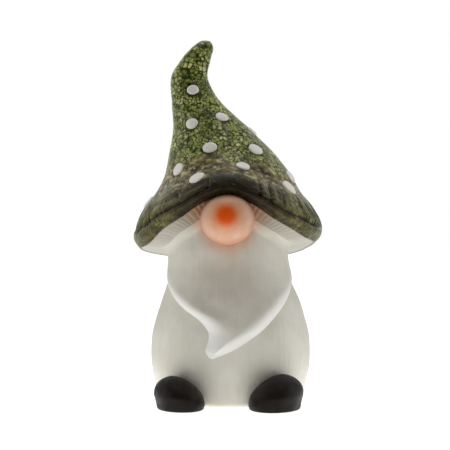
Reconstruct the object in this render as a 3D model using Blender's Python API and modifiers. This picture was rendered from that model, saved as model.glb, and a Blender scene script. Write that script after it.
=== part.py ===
"""Garden gnome with a mushroom hat, in glazed slip-cast earthenware.

Metres, +Z up, the gnome faces -Y. Left and right are the viewer's, looking along +Y.
Every clay part that is formed on its own is one object: the stem-shaped body, the hat shell, the gill ring
that closes the hat from below, the beard, the nose, two shoes and the raised spots. Each joint that is
luted with slip is left open by JOINT_GAP.
"""

from math import cos, floor, pi, radians, sin, sqrt

import bmesh
import bpy
from mathutils import Matrix, Vector

MM = 0.001

# Driving dimensions
HEIGHT = 301 * MM
WALL = 5.5 * MM
JOINT_GAP = 0.4 * MM
AXIS_Y = 5 * MM  # the body's axis lies this far behind the origin, the middle of the footprint

# Hat, from the lip up to the tip: height, centre x, centre y, half width, half depth, and the share of
# the lip's rise and fall that the section takes part in. Millimetres, seen at the hat's two sides.
HAT_SECTIONS = (
    (127.6, -0.3, 2.0, 73.2, 69.0, 1.00),
    (135.6, 0.6, 2.0, 79.0, 74.5, 0.94),
    (146.5, 1.2, 2.0, 77.4, 73.0, 0.80),
    (159.7, 0.2, 2.5, 70.6, 67.0, 0.64),
    (172.9, 0.0, 4.0, 60.0, 56.5, 0.48),
    (186.2, 0.2, 6.0, 53.6, 51.0, 0.28),
    (206.3, -5.2, 8.0, 43.8, 42.5, 0.05),
    (226.8, -13.8, 11.0, 32.7, 32.0, 0.00),
    (247.2, -25.4, 13.0, 22.2, 22.0, 0.00),
    (267.7, -32.4, 14.0, 16.4, 16.2, 0.00),
    (283.0, -27.3, 14.0, 13.0, 12.8, 0.00),
    (293.6, -21.6, 14.0, 9.9, 9.7, 0.00),
    (299.6, -18.9, 14.0, 4.8, 4.8, 0.00),
    (HEIGHT / MM, -18.5, 14.0, 0.0, 0.0, 0.00),
)
TIP_STATION = len(HAT_SECTIONS) - 1
HAT_COLUMNS = 48
HAT_ROWS_PER_STATION = 2
HAT_HOLLOW_START = 2.6
HAT_HOLLOW_TOP = 9.6  # the station where slip has filled the narrow tip solid
HAT_HOLLOW_ROWS = 11

# Height of the lip above HAT_SECTIONS[0] every LIP_STEP, from the back round by the left side. It arches
# over the nose and falls to the back. Millimetres.
LIP_STEP = radians(15)
LIP_RISES = (
    (-12.0, -11.7, -10.7, -9.0, -6.8, -4.2)
    + (-1.8, -0.5, 3.4, 14.4, 23.9, 35.5)
    + (41.0, 34.6, 23.3, 14.9, 8.0, 5.1)
    + (3.0, 0.0, -4.5, -8.0, -10.3, -11.6)
)

# The gallery inside the lip, where the gill ring sits.
GALLERY_HALF_WIDTH = 71.4 * MM
GALLERY_DEPTH = 6.3 * MM
LEDGE_WIDTH = 2.6 * MM

# Body: half width and centre x every BODY_STEP from the foot up, in millimetres.
BODY_STEP = 14 * MM
BODY_SECTIONS = (
    (59.7, 2.5),
    (62.5, 2.5),
    (65.2, 2.5),
    (66.0, 2.4),
    (65.0, 2.4),
    (61.5, 2.4),
    (57.0, 2.6),
    (51.6, 1.8),
    (47.4, 1.0),
    (46.5, 0.0),
    (46.5, 0.0),
)
BODY_DEPTH_RATIO = 0.9
BODY_COLUMNS = 48
BODY_SIDE_ROWS = 13
BODY_ROW_STEP = BODY_STEP / 1.5
FOOT_EDGE = 3.5 * MM
FOOT_RING_WIDTH = 14 * MM
NECK_STEP = 3 * MM  # the shoulder that carries the gill ring
NECK_LENGTH = 18 * MM
NECK_SHARE = 0.5  # share of the lip's rise and fall that the shoulder takes part in
VENT_RADIUS = 3 * MM
VENT_LENGTH = 26 * MM

# Gill ring
GILL_COUNT = 72
GILL_DEPTH = 1.1 * MM
GILL_THICKNESS = 5.2 * MM
COLLAR_HEIGHT = 11 * MM
COLLAR_WALL = 5 * MM

# Beard outline as (angle from the front in degrees, height in millimetres), from the ears to the tip.
BEARD_LEFT = (
    (-128, 124),
    (-116, 115),
    (-90, 103.5),
    (-64, 91.5),
    (-42, 79.5),
    (-25, 70.2),
    (-16.5, 61.5),
    (-15.6, 54.5),
    (-17.6, 46),
    (-15, 40.2),
)
BEARD_RIGHT = (
    (128, 124),
    (116, 115),
    (90, 103.5),
    (60, 89.5),
    (45, 79.5),
    (34, 70.8),
    (24, 62.3),
    (13.5, 54.5),
    (1, 46),
    (-12.5, 39.6),
)
BEARD_SIDE_THICKNESS = 4.0 * MM
BEARD_FRONT_THICKNESS = 7.0 * MM
BEARD_EDGE_RADIUS = 6.5 * MM
BEARD_HOLLOW = 1.6 * MM
BEARD_SUNK = 2.5 * MM  # how far the blank reaches into the body before the body's room is cut from it
BEARD_COLUMNS = 16
BEARD_ROWS = 27
BEARD_TOP_GAP = 1.1 * MM

# Nose
NOSE_CENTRE = Vector((-0.2, -64, 149.9)) * MM
NOSE_RADII = Vector((21.5, 19.6, 19.8)) * MM
NOSE_VENT_DROP = 9 * MM

# Shoes: drawn in above the centre, squarer below it, and leaning outward to the top.
SHOE_RADII = Vector((19.8, 27.3, 17.7)) * MM
SHOE_CENTRE = Vector((37.2, -59, 9.6)) * MM
SHOE_SIZES = {"left_shoe": 0.96, "right_shoe": 1.04}
SHOE_DOME_POWER = 1.75
SHOE_BASE_POWER = 3.2
SHOE_LEAN = 6 * MM
SHOE_TOE_OUT = radians(14)
SHOE_VENT_HEIGHT = 14 * MM

# Raised spots: station along the hat, angle from the front in degrees, and size.
SPOT_HALF_WIDTH = 5.8 * MM
SPOT_HALF_HEIGHT = 4.9 * MM
SPOT_THICKNESS = 1.7 * MM
SPOT_SIDES = 12
SPOTS = (
    (8.5, 4, 0.84),
    (7.4, 30, 0.94),
    (7.1, -28, 0.92),
    (6.0, -12, 1.0),
    (6.0, 40, 1.1),
    (4.4, 12, 1.0),
    (5.1, -50, 1.1),
    (3.45, -22, 1.25),
    (3.8, 54, 1.4),
    (7.35, -112, 0.9),
    (6.85, 76, 0.95),
    (4.85, 72, 1.15),
    (3.4, -82, 1.25),
    (8.6, 170, 0.84),
    (7.3, 150, 0.92),
    (6.3, -140, 1.0),
    (5.6, 130, 1.05),
    (4.7, -175, 1.1),
    (4.5, -115, 1.15),
    (3.5, 145, 1.25),
    (3.4, 100, 1.25),
)

CREAM = (0.62, 0.60, 0.53)
PEACH = (0.64, 0.38, 0.26)
MOSS_GREEN = (0.07, 0.10, 0.02)
SPOT_WHITE = (0.60, 0.57, 0.50)
SHOE_BLACK = (0.012, 0.010, 0.008)


def clear_scene():
    for old in list(bpy.data.objects):
        bpy.data.objects.remove(old)


def new_collection(name):
    collection = bpy.data.collections.new(name)
    bpy.context.scene.collection.children.link(collection)
    return collection


def glaze(name, colour, roughness):
    material = bpy.data.materials.new(name)
    material.use_nodes = True
    shader = material.node_tree.nodes["Principled BSDF"]
    shader.inputs["Base Color"].default_value = (*colour, 1)
    shader.inputs["Roughness"].default_value = roughness
    shader.inputs["Metallic"].default_value = 0
    return material


def spline(table, station):
    """The row of a table at a fractional row number, on a Catmull-Rom curve through the rows."""
    last = len(table) - 1
    index = min(int(station), last - 1)
    f = station - index
    rows = [table[min(max(index + k, 0), last)] for k in (-1, 0, 1, 2)]
    return [
        b + 0.5 * f * (c - a + f * (2 * a - 5 * b + 4 * c - d + f * (3 * (b - c) + d - a)))
        for a, b, c, d in zip(*rows)
    ]


def lip_rise(angle):
    """Height of the hat's lip at an angle from the front, above the first of HAT_SECTIONS."""
    turns = (angle + pi) / LIP_STEP
    first = floor(turns) - 1
    near = [(LIP_RISES[(first + k) % len(LIP_RISES)],) for k in range(4)]
    return spline(near, 1 + turns - floor(turns))[0] * MM


def on_ellipse(angle, centre_x, centre_y, half_width, half_depth, height):
    return Vector((centre_x + half_width * sin(angle), centre_y - half_depth * cos(angle), height))


def hat_point(station, angle):
    """A point of the hat's outer surface."""
    height, x, y, half_width, half_depth, share = spline(HAT_SECTIONS, station)
    point = on_ellipse(angle, x, y, half_width, half_depth, height) * MM
    point.z += share * lip_rise(angle)
    return point


def hat_normal(station, angle):
    step = 0.01
    along = hat_point(station + step, angle) - hat_point(station - step, angle)
    around = hat_point(station, angle + step) - hat_point(station, angle - step)
    return around.cross(along).normalized()


def angles(count):
    """Angles from the front for one turn, all between -pi and pi."""
    return [-pi + 2 * pi * i / count for i in range(count)]


def loft(name, rows, cap_points=None, flat_caps=False):
    """A closed surface through rows of points, each row a closed loop. The first and last rows are closed
    with one point each, or each across its own two sides, or else they are joined to each other."""
    mesh = bmesh.new()
    loops = [[mesh.verts.new(point) for point in row] for row in rows]
    pairs = list(zip(loops, loops[1:]))
    if cap_points is None and not flat_caps:
        pairs.append((loops[-1], loops[0]))
    for lower, upper in pairs:
        for i in range(len(lower)):
            j = (i + 1) % len(lower)
            mesh.faces.new((lower[i], lower[j], upper[j], upper[i]))
    if cap_points is not None:
        for loop, point in zip((loops[0], loops[-1]), cap_points):
            centre = mesh.verts.new(point)
            for i in range(len(loop)):
                mesh.faces.new((loop[i], loop[(i + 1) % len(loop)], centre))
    if flat_caps:
        for loop in (loops[0], loops[-1]):
            for i in range(len(loop) // 2):
                corners = (loop[i], loop[i + 1], loop[-i - 1], loop[-i])
                mesh.faces.new(dict.fromkeys(corners))
    bmesh.ops.recalc_face_normals(mesh, faces=mesh.faces)
    return as_object(name, mesh)


def as_object(name, mesh):
    data = bpy.data.meshes.new(name)
    mesh.to_mesh(data)
    mesh.free()
    return bpy.data.objects.new(name, data)


def place(obj, collection, holder, material=None):
    collection.objects.link(obj)
    obj.parent = holder
    if material is not None:
        obj.data.materials.append(material)
        obj.data.shade_smooth()
        obj.data.set_sharp_from_angle(angle=radians(50))
    return obj


def ellipsoid(name, radii, centre, turn=0.0, segments=24, rings=14):
    mesh = bmesh.new()
    bmesh.ops.create_uvsphere(mesh, u_segments=segments, v_segments=rings, radius=1)
    bmesh.ops.transform(mesh, verts=mesh.verts, matrix=Matrix.Diagonal((*radii, 1)))
    obj = as_object(name, mesh)
    obj.location = centre
    obj.rotation_euler.z = turn
    return obj


def vent_cutter(name, centre):
    """A bar along Y that pierces a vent."""
    mesh = bmesh.new()
    bmesh.ops.create_cone(
        mesh, cap_ends=True, segments=12, radius1=VENT_RADIUS, radius2=VENT_RADIUS, depth=VENT_LENGTH
    )
    obj = as_object(name, mesh)
    obj.location = centre
    obj.rotation_euler.x = pi / 2
    return obj


def cut(obj, cutter):
    modifier = obj.modifiers.new("cut_" + cutter.name, "BOOLEAN")
    modifier.operation = "DIFFERENCE"
    modifier.object = cutter


def hat_shell():
    """The hollow cap, with a gallery inside its lip and a tip that is solid."""
    turn = angles(HAT_COLUMNS)
    outer_count = TIP_STATION * HAT_ROWS_PER_STATION
    outer = [
        [hat_point(i / HAT_ROWS_PER_STATION, a) for a in turn] for i in range(outer_count)
    ]
    gallery = [
        gallery_row(turn, GALLERY_HALF_WIDTH, 0.3 * MM),
        gallery_row(turn, GALLERY_HALF_WIDTH, GALLERY_DEPTH),
        gallery_row(turn, GALLERY_HALF_WIDTH - LEDGE_WIDTH, GALLERY_DEPTH),
    ]
    span = HAT_HOLLOW_TOP - HAT_HOLLOW_START
    stations = [HAT_HOLLOW_START + span * i / (HAT_HOLLOW_ROWS - 1) for i in range(HAT_HOLLOW_ROWS)]
    inner = [[hat_point(s, a) - hat_normal(s, a) * WALL for a in turn] for s in stations]
    top = sum(inner[-1], Vector()) / HAT_COLUMNS + Vector((0, 0, 2 * MM))
    tip = hat_point(TIP_STATION, 0)
    return loft("hat_shell", outer[::-1] + gallery + inner, (tip, top))


def gallery_row(turn, half_width, height):
    """A row inside the lip, at a height above the lip's lower edge."""
    lip_height, x, y, lip_half_width, lip_half_depth, _ = HAT_SECTIONS[0]
    half_depth = half_width - (lip_half_width - lip_half_depth) * MM
    base = lip_height * MM + height
    return [on_ellipse(a, x * MM, y * MM, half_width, half_depth, base + lip_rise(a)) for a in turn]


def body_section(height):
    half_width, x = spline(BODY_SECTIONS, height / BODY_STEP)
    return half_width * MM, x * MM


def body_heights():
    """Heights of the rows of the body's side, from the foot edge to below the shoulder."""
    return [FOOT_EDGE] + [BODY_ROW_STEP * i for i in range(1, BODY_SIDE_ROWS)]


def body_row(turn, height, inset=0.0):
    """A level row around the body, inset from its outer surface."""
    half_width, x = body_section(height)
    half_depth = half_width * BODY_DEPTH_RATIO
    return [on_ellipse(a, x, 0, half_width - inset, half_depth - inset, height) for a in turn]


def neck_height(angle):
    """Height of the shoulder that carries the gill ring."""
    return HAT_SECTIONS[0][0] * MM + NECK_SHARE * lip_rise(angle)


def neck_row(turn, inset, rise):
    half_width, x = body_section(len(BODY_SECTIONS) * BODY_STEP)
    half_depth = half_width * BODY_DEPTH_RATIO
    return [
        on_ellipse(a, x, 0, half_width - inset, half_depth - inset, neck_height(a) + rise)
        for a in turn
    ]


def body_shell():
    """The stem: hollow from the foot ring to the open neck, with a shoulder under the gill ring."""
    turn = angles(BODY_COLUMNS)
    heights = body_heights()
    outer = [
        body_row(turn, 0, FOOT_EDGE),
        body_row(turn, FOOT_EDGE * 0.3, FOOT_EDGE * 0.3),
        *[body_row(turn, h) for h in heights],
    ]
    shoulder = -2 * JOINT_GAP
    neck = [
        neck_row(turn, 0, shoulder),
        neck_row(turn, NECK_STEP, shoulder),
        neck_row(turn, NECK_STEP, NECK_LENGTH),
        neck_row(turn, NECK_STEP + WALL, NECK_LENGTH),
    ]
    inner = [body_row(turn, h, WALL + NECK_STEP * (h > heights[-3])) for h in heights[:1:-2]]
    foot = [
        body_row(turn, WALL, WALL),
        body_row(turn, WALL, FOOT_RING_WIDTH),
        body_row(turn, 0, FOOT_RING_WIDTH),
    ]
    return loft("body_shell", outer + neck + inner + foot)


def gill_row(turn, across, rise, ribs=0.0):
    """A row of the gill ring, from the neck at 0 to the gallery at 1, above the shoulder by a rise."""
    _, x, y, lip_half_width, lip_half_depth, _ = HAT_SECTIONS[0]
    outer_width = GALLERY_HALF_WIDTH - JOINT_GAP
    outer_depth = outer_width - (lip_half_width - lip_half_depth) * MM
    neck_width, neck_x = body_section(len(BODY_SECTIONS) * BODY_STEP)
    inner_width = neck_width - NECK_STEP + JOINT_GAP
    inner_depth = neck_width * BODY_DEPTH_RATIO - NECK_STEP + JOINT_GAP
    share = NECK_SHARE + (1 - NECK_SHARE) * across
    row = []
    for i, a in enumerate(turn):
        inner = on_ellipse(a, neck_x, 0, inner_width, inner_depth, 0)
        outer = on_ellipse(a, x * MM, y * MM, outer_width, outer_depth, 0)
        point = inner.lerp(outer, across)
        point.z = HAT_SECTIONS[0][0] * MM + share * lip_rise(a) + rise + ribs * (i % 2)
        row.append(point)
    return row


def gill_ring():
    """The ribbed underside of the cap: a plate with a collar that grips the neck."""
    turn = angles(GILL_COUNT * 2)
    rim = 0.6 * MM
    neck_width = body_section(len(BODY_SECTIONS) * BODY_STEP)[0]
    collar = COLLAR_WALL / (GALLERY_HALF_WIDTH - neck_width + NECK_STEP)
    rows = [
        gill_row(turn, 0, 0),
        gill_row(turn, 0.3, rim / 2),
        gill_row(turn, 0.55, rim, GILL_DEPTH),
        gill_row(turn, 0.93, rim, GILL_DEPTH),
        gill_row(turn, 1, rim),
        gill_row(turn, 1, GILL_THICKNESS),
        gill_row(turn, collar * 1.3, GILL_THICKNESS),
        gill_row(turn, collar, COLLAR_HEIGHT),
        gill_row(turn, 0, COLLAR_HEIGHT),
    ]
    return loft("gill_ring", rows)


def beard_thickness(angle, edge_distance):
    """Outer height of the beard over the body, rounded along its edge and hollowed inside it."""
    facing = max(0, cos(angle)) ** 2
    full = BEARD_SIDE_THICKNESS + (BEARD_FRONT_THICKNESS - BEARD_SIDE_THICKNESS) * facing
    edge = min(edge_distance / BEARD_EDGE_RADIUS, 1)
    inside = min(max(edge_distance / BEARD_EDGE_RADIUS - 1, 0) / 2, 1)
    dish = BEARD_HOLLOW * facing * inside * inside * (3 - 2 * inside)
    return full * sqrt(1 - (1 - edge) ** 2) - dish


def beard_ground(angle, height, rise):
    """A point over the body's outer surface."""
    half_width, x = body_section(height)
    half_depth = half_width * BODY_DEPTH_RATIO
    return on_ellipse(angle, x, 0, half_width + rise, half_depth + rise, height)


def beard_row(station):
    """A closed section across the beard, out over its face and back along the body."""
    left = spline(BEARD_LEFT, station)
    right = spline(BEARD_RIGHT, station)
    half_span = radians(right[0] - left[0]) / 2
    top_share = max(0, 1 - station / 2.5) ** 2
    face, back = [], []
    for i in range(BEARD_COLUMNS + 1):
        s = (1 - cos(pi * i / BEARD_COLUMNS)) / 2
        a = radians(left[0] + (right[0] - left[0]) * s)
        level = (left[1] + (right[1] - left[1]) * s) * MM
        top = neck_height(a) - BEARD_TOP_GAP
        height = level + top_share * (top - BEARD_LEFT[0][1] * MM)
        radius = body_section(height)[0]
        distance = (1 - abs(2 * s - 1)) * half_span * radius
        rise = JOINT_GAP + beard_thickness(a, distance)
        face.append(beard_ground(a, height, rise))
        back.append(beard_ground(a, height, -BEARD_SUNK))
    return face + back[-2:0:-1]


def beard():
    last = len(BEARD_LEFT) - 1
    rows = [beard_row(last * i / BEARD_ROWS) for i in range(BEARD_ROWS + 1)]
    return loft("beard", rows, flat_caps=True)


def nose():
    return ellipsoid("nose", NOSE_RADII, NOSE_CENTRE)


def shoe(name, side):
    """A shoe, cut flat at its sole; side is -1 on the left and 1 on the right."""
    centre = Vector((side * SHOE_CENTRE.x, SHOE_CENTRE.y, SHOE_CENTRE.z))
    turn = -side * SHOE_TOE_OUT
    radii = SHOE_RADII * SHOE_SIZES[name]
    outer = ellipsoid(name, radii, centre, turn)
    press(outer, radii, side)
    flatten(outer, -SHOE_CENTRE.z)
    hollow_radii = radii - Vector((6, 5.5, 5.5)) * MM
    hollow = ellipsoid(name + "_hollow", hollow_radii, centre, turn, 16, 10)
    press(hollow, hollow_radii, side)
    flatten(hollow, WALL - SHOE_CENTRE.z)
    return outer, hollow


def press(obj, radii, side):
    """Gives an ellipsoid the profile of a shoe."""
    for vertex in obj.data.vertices:
        x, y, z = (c / r for c, r in zip(vertex.co, radii))
        power = SHOE_BASE_POWER if z < 0 else SHOE_DOME_POWER
        size = sqrt(x * x + y * y) ** power + abs(z) ** power
        vertex.co *= size ** (-1 / power)
        up = min(max((vertex.co.z + 7 * MM) / (24 * MM), 0), 1)
        vertex.co.x += side * SHOE_LEAN * up * up * (3 - 2 * up)


def flatten(obj, height):
    """Cuts off what lies below a height in the object's own frame, and closes the cut."""
    mesh = bmesh.new()
    mesh.from_mesh(obj.data)
    whole = mesh.verts[:] + mesh.edges[:] + mesh.faces[:]
    made = bmesh.ops.bisect_plane(
        mesh, geom=whole, plane_co=(0, 0, height), plane_no=(0, 0, -1), clear_outer=True
    )
    rim = [e for e in made["geom_cut"] if isinstance(e, bmesh.types.BMEdge)]
    bmesh.ops.edgeloop_fill(mesh, edges=rim)
    mesh.to_mesh(obj.data)
    mesh.free()


def spot(name, station, angle, size, hat):
    """A flat button of clay, laid on the hat and bent to it."""
    mesh = bmesh.new()
    centre = mesh.verts.new((0, 0, 0))
    rings = []
    for share in (0.55 * size, size):
        half_width = SPOT_HALF_WIDTH * share
        half_height = SPOT_HALF_HEIGHT * share
        turn = angles(SPOT_SIDES)
        rings.append([mesh.verts.new((half_width * cos(a), half_height * sin(a), 0)) for a in turn])
    for i in range(SPOT_SIDES):
        j = (i + 1) % SPOT_SIDES
        mesh.faces.new((centre, rings[0][i], rings[0][j]))
        mesh.faces.new((rings[0][i], rings[1][i], rings[1][j], rings[0][j]))
    obj = as_object(name, mesh)
    normal = hat_normal(station, angle)
    obj.location = hat_point(station, angle) + normal * 4 * MM
    obj.rotation_euler = normal.to_track_quat("Z", "Y").to_euler()
    wrap = obj.modifiers.new("lay_on_hat", "SHRINKWRAP")
    wrap.target = hat
    wrap.wrap_method = "PROJECT"
    wrap.use_negative_direction = True
    wrap.use_positive_direction = False
    wrap.use_project_z = True
    wrap.offset = JOINT_GAP
    thicken = obj.modifiers.new("thickness", "SOLIDIFY")
    thicken.thickness = SPOT_THICKNESS
    thicken.offset = 1
    return obj


def envelope(name, rows):
    """A closed solid around rows of points, as a cutter."""
    middles = [sum(rows[i], Vector()) / len(rows[i]) for i in (0, -1)]
    return loft(name, rows, middles)


def build():
    clear_scene()
    parts = new_collection("garden_gnome")
    cutters = new_collection("cutters")
    holder = bpy.data.objects.new("gnome_axis", None)
    holder.location.y = AXIS_Y
    parts.objects.link(holder)

    cream = glaze("cream_glaze", CREAM, 0.45)
    green = glaze("moss_glaze", MOSS_GREEN, 0.15)
    peach = glaze("peach_glaze", PEACH, 0.4)
    white = glaze("spot_glaze", SPOT_WHITE, 0.35)
    black = glaze("black_glaze", SHOE_BLACK, 0.3)

    def part(obj, material):
        return place(obj, parts, holder, material)

    def cutter(obj):
        place(obj, cutters, holder)
        obj.hide_render = True
        obj.display_type = "WIRE"
        return obj

    body = part(body_shell(), cream)
    ring = part(gill_ring(), cream)
    hat = part(hat_shell(), green)
    bib = part(beard(), cream)
    ball = part(nose(), peach)

    clearance = Vector((JOINT_GAP, JOINT_GAP, JOINT_GAP))
    seat = cutter(ellipsoid("nose_seat", NOSE_RADII + clearance, NOSE_CENTRE))
    hollow_radii = NOSE_RADII - Vector((6.2, 5.5, 5.5)) * MM
    ball_hollow = cutter(ellipsoid("nose_hollow", hollow_radii, NOSE_CENTRE, 0, 16, 10))
    vent_centre = NOSE_CENTRE + Vector((0, 19 * MM, -NOSE_VENT_DROP))
    nose_vent = cutter(vent_cutter("nose_vent", vent_centre))
    for target in (ring, bib, hat):
        cut(target, seat)
    cut(ball, ball_hollow)
    for target in (ball, bib, body):
        cut(target, nose_vent)

    turn = angles(BODY_COLUMNS)
    rows = [body_row(turn, h, -JOINT_GAP) for h in [FOOT_EDGE] + body_heights()]
    rows.append(neck_row(turn, -JOINT_GAP, 0))
    rows.append(neck_row(turn, -JOINT_GAP, NECK_LENGTH * 2))
    for point in rows[0]:
        point.z = -10 * MM
    body_room = cutter(envelope("body_room", rows))
    cut(bib, body_room)
    for name, side in (("left_shoe", -1), ("right_shoe", 1)):
        outer, hollow = shoe(name, side)
        vent_centre = Vector((outer.location.x - side * 3 * MM, -48 * MM, SHOE_VENT_HEIGHT))
        part(outer, black)
        cut(outer, cutter(hollow))
        cut(outer, body_room)
        cut(body, cutter(vent_cutter(name + "_vent", vent_centre)))

    for number, (station, degrees, size) in enumerate(SPOTS, 1):
        part(spot(f"spot_{number:02d}", station, radians(degrees), size, hat), white)


build()
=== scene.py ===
"""Looks of the garden gnome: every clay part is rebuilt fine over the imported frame, in its glaze."""

from math import cos, pi, radians, sin

import bpy
import numpy as np
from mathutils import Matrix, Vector, noise
from mathutils.bvhtree import BVHTree


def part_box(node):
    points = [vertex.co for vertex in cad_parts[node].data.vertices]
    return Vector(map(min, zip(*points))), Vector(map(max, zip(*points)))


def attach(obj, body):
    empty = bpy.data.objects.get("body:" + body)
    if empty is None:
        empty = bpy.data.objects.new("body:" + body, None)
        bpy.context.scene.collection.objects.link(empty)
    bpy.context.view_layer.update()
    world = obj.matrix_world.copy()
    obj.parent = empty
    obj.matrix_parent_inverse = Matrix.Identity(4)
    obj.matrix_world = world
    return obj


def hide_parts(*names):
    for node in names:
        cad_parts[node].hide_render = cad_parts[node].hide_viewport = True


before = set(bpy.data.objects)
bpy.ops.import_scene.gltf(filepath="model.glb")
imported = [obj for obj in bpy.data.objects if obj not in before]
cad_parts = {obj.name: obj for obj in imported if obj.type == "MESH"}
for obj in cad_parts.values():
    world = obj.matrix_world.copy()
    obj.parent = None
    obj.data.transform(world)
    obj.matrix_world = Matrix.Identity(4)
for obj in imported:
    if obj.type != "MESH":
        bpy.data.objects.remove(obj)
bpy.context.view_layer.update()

MM = 0.001
AXIS_Y = 5 * MM
WALL = 5.5 * MM
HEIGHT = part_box("hat_shell")[1][2]

# Hat, from the lip up to the tip: height, centre x, centre y, half width, half depth and the share of the
# lip's rise and fall. Millimetres. These rows are up to 1.3 mm slimmer on each side than the CAD model's.
HAT_SECTIONS = np.array(
    (
        (127.6, -0.4, 2.0, 72.7, 68.6, 1.00),
        (135.6, 0.3, 2.0, 77.9, 74.0, 0.94),
        (146.5, 0.8, 2.0, 76.1, 72.6, 0.80),
        (159.7, 0.0, 2.5, 69.6, 66.6, 0.64),
        (172.9, 0.0, 4.0, 59.6, 56.2, 0.48),
        (186.2, 0.1, 6.0, 53.0, 50.6, 0.28),
        (206.3, -5.2, 8.0, 43.2, 42.0, 0.05),
        (226.8, -13.9, 11.0, 31.8, 31.4, 0.00),
        (247.2, -25.5, 13.0, 21.4, 21.4, 0.00),
        (267.7, -32.0, 14.0, 15.7, 15.6, 0.00),
        (283.0, -27.3, 14.0, 12.9, 12.7, 0.00),
        (293.6, -21.6, 14.0, 9.9, 9.7, 0.00),
        (299.6, -18.9, 14.0, 4.8, 4.8, 0.00),
        (HEIGHT / MM, -18.5, 14.0, 0.0, 0.0, 0.00),
    )
)
TIP_STATION = len(HAT_SECTIONS) - 1
LIP_STEP = radians(15)
LIP_RISES = np.array(
    (-12.0, -11.7, -10.7, -9.0, -6.8, -4.2)
    + (-1.8, -0.5, 3.4, 14.4, 23.9, 35.5)
    + (41.0, 34.6, 23.3, 14.9, 8.0, 5.1)
    + (3.0, 0.0, -4.5, -8.0, -10.3, -11.6)
)
GALLERY_HALF_WIDTH = 71.4 * MM
GALLERY_DEPTH = 6.3 * MM
LEDGE_WIDTH = 2.6 * MM

# Body: half width and centre x every BODY_STEP from the foot up, in millimetres.
BODY_STEP = 14 * MM
BODY_SECTIONS = np.array(
    (
        (59.7, 2.5),
        (62.5, 2.5),
        (65.2, 2.5),
        (66.0, 2.4),
        (65.0, 2.4),
        (61.5, 2.4),
        (57.0, 2.6),
        (51.6, 1.8),
        (47.4, 1.0),
        (46.5, 0.0),
        (46.5, 0.0),
    )
)
BODY_DEPTH_RATIO = 0.9
FOOT_EDGE = 3.5 * MM
FOOT_RING_WIDTH = 14 * MM
NECK_STEP = 3 * MM
NECK_LENGTH = 18 * MM
NECK_SHARE = 0.5

# Beard outline as (angle from the front in degrees, height in millimetres), from the ears to the tip.
BEARD_LEFT = np.array(
    (
        (-128, 124),
        (-116, 115),
        (-90, 103.5),
        (-64, 91.5),
        (-42, 79.5),
        (-25, 70.2),
        (-16.5, 61.5),
        (-15.6, 54.5),
        (-17.6, 46),
        (-15, 40.2),
    )
)
BEARD_RIGHT = np.array(
    (
        (128, 124),
        (116, 115),
        (90, 103.5),
        (60, 89.5),
        (45, 79.5),
        (34, 70.8),
        (24, 62.3),
        (13.5, 54.5),
        (1, 46),
        (-12.5, 39.6),
    )
)
BEARD_FILLET = 9 * MM  # where the beard runs out into the gills
BEARD_LIP_WIDTH = 19 * MM
BEARD_DISH = (14 * MM, 36 * MM)  # in from its edge, over which it hollows
BEARD_DISH_DEPTH = 1.2 * MM
BEARD_LIP_HIGHLIGHT = (4 * MM, 24 * MM)  # in from its edge, over which its painted highlight fades

SHOE_RADII = np.array((19.8, 27.3, 17.7)) * MM
SHOE_CENTRE = np.array((37.2, -59, 9.6)) * MM
SHOE_SIZES = {"left_shoe": 0.96, "right_shoe": 1.04}
SHOE_LEAN = 6 * MM
SHOE_TOE_OUT = radians(14)
SHOE_POWERS = (1.75, 3.2)  # of its dome and of its base
SHOE_SOLE_EDGE = 2.2 * MM

SPOT_HALF_WIDTH = 5.85 * MM
SPOT_HALF_HEIGHT = 4.95 * MM
SPOT_SINK = 0.35 * MM

GILL_COUNT = 108

# Pleats of the brim: angle from the front and lean along the hat in degrees, the first and last station,
# depth in millimetres and half width in degrees.
FRONT_PLEATS = (
    (18.5, 1.6, 1.3, 3.5, 2.2, 1.0),
    (25.0, 2.4, 1.4, 3.6, 2.2, 1.1),
    (-12.0, -0.3, 1.5, 3.2, 1.6, 0.9),
    (33.0, 3.0, 1.6, 3.0, 1.0, 0.9),
    (-30.0, -3.0, 1.9, 3.0, 0.9, 1.0),
    (3.0, 0.5, 1.6, 2.7, 0.8, 0.9),
)


# ---------------------------------------------------------------- surfaces


def spline(table, station):
    """Rows of a table at fractional row numbers, on a Catmull-Rom curve through the rows."""
    last = len(table) - 1
    index = np.clip(np.floor(station).astype(int), 0, last - 1)
    f = (station - index)[..., None]
    a, b, c, d = (table[np.clip(index + k, 0, last)] for k in (-1, 0, 1, 2))
    return b + 0.5 * f * (c - a + f * (2 * a - 5 * b + 4 * c - d + f * (3 * (b - c) + d - a)))


def lip_rise(angle):
    """Height of the hat's lip at angles from the front, above the first of HAT_SECTIONS."""
    count = len(LIP_RISES)
    wrapped = LIP_RISES[np.arange(-2, count + 3) % count][:, None]
    return spline(wrapped, np.asarray(angle + pi) / LIP_STEP % count + 2)[..., 0] * MM


def on_ellipse(angle, centre_x, centre_y, half_width, half_depth, height):
    x = centre_x + half_width * np.sin(angle)
    y = AXIS_Y + centre_y - half_depth * np.cos(angle)
    return np.stack(np.broadcast_arrays(x, y, height), -1)


def hat_points(station, angle):
    """Points of the plain outer surface of the hat."""
    height, x, y, width, depth, share = np.moveaxis(spline(HAT_SECTIONS, station), -1, 0) * MM
    return on_ellipse(angle, x, y, width, depth, height + share / MM * lip_rise(angle))


def normals_of(points_at, u, v, step_u, step_v):
    """Outward normals of a surface given by a function of two parameters."""
    along = points_at(u + step_u, v) - points_at(u - step_u, v)
    around = points_at(u, v + step_v) - points_at(u, v - step_v)
    normal = np.cross(around, along)
    return normal / np.maximum(np.linalg.norm(normal, axis=-1, keepdims=True), 1e-12)


def body_points(angle, height, rise=0.0):
    width, x = np.moveaxis(spline(BODY_SECTIONS, np.asarray(height / BODY_STEP)), -1, 0) * MM
    return on_ellipse(angle, x, 0, width + rise, width * BODY_DEPTH_RATIO + rise, height)


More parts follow.
